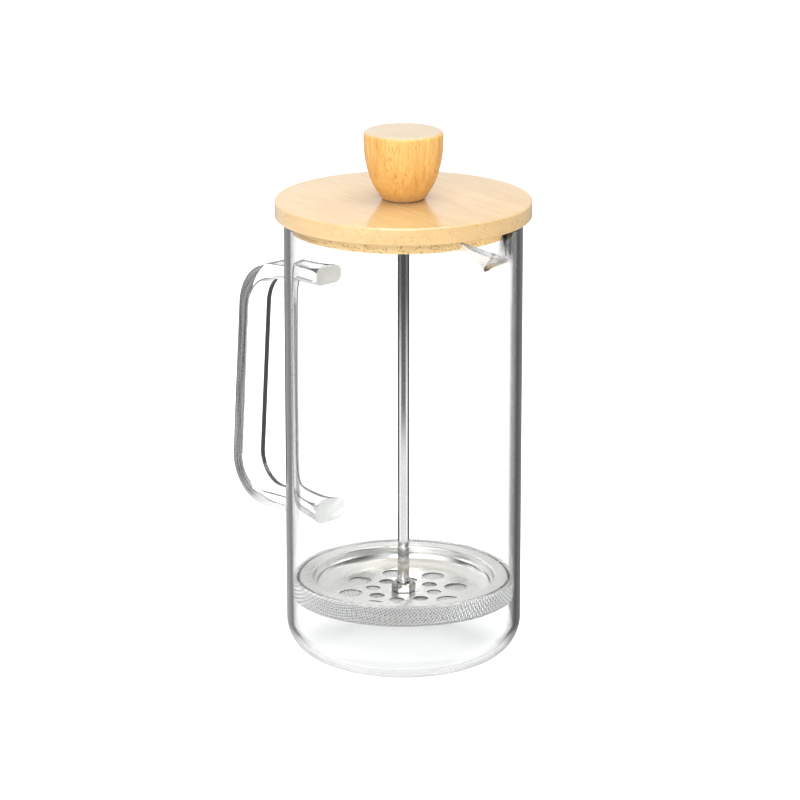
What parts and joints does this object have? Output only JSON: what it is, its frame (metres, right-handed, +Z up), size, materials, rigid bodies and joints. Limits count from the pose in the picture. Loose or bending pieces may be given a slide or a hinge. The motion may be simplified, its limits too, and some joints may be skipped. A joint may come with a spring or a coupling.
{
  "type": "french press",
  "caption": "Glass coffee press with a fused glass handle, a bamboo lid and knob, and a steel rod that pushes a mesh filter down the beaker.",
  "frame": {"origin": "centre of the beaker's flat base, on the table", "axes": "+Z up along the rod, +X towards the spout, -X towards the handle"},
  "size_m": [0.168, 0.1076, 0.2275],
  "materials": {
    "beaker_glass": "clear borosilicate glass, fire polished rim",
    "handle_glass": "clear solid borosilicate glass",
    "lid_bamboo": "pale laminated bamboo, clear lacquer",
    "plug_bamboo": "pale laminated bamboo, clear lacquer",
    "knob_bamboo": "golden bamboo, turned, clear lacquer",
    "insert_brass": "turned brass",
    "bush_steel": "drawn stainless steel",
    "rod_steel": "polished stainless steel",
    "nut_steel": "bright stainless steel",
    "collar_steel": "bright stainless steel",
    "plate_steel": "pressed stainless sheet, polished wall and satin floor",
    "spring_steel": "drawn spring wire",
    "mesh_steel": "woven stainless wire",
    "eyelet_steel": "pressed stainless steel",
    "cross_steel": "stamped stainless steel",
    "hub_steel": "turned stainless steel"
  },
  "bodies": {
    "beaker": {"glass_beaker": "beaker_glass", "glass_handle": "handle_glass"},
    "lid": {"lid_plate": "lid_bamboo", "lid_plug": "plug_bamboo"},
    "guide": {"guide_bush": "bush_steel"},
    "plunger": {"knob": "knob_bamboo", "knob_insert": "insert_brass", "plunger_rod": "rod_steel", "lock_nut": "nut_steel", "nut_collar": "collar_steel", "pressure_plate": "plate_steel", "spring_coil": "spring_steel", "filter_mesh": "mesh_steel", "mesh_eyelet": "eyelet_steel", "cross_plate": "cross_steel", "cross_plate_hub": "hub_steel"}
  },
  "joints": [
    {"name": "lid_lift", "type": "slide", "parent": "beaker", "child": "lid", "axis": [0, 0, 1], "range_m": [0, 0.2]},
    {"name": "plunger_turn", "type": "hinge", "parent": "lid", "child": "guide", "pos_m": [0, 0, 0.19], "axis": [0, 0, 1], "continuous": true},
    {"name": "plunger_slide", "type": "slide", "parent": "guide", "child": "plunger", "axis": [0, 0, 1], "range_m": [0, 0.15]}
  ]
}
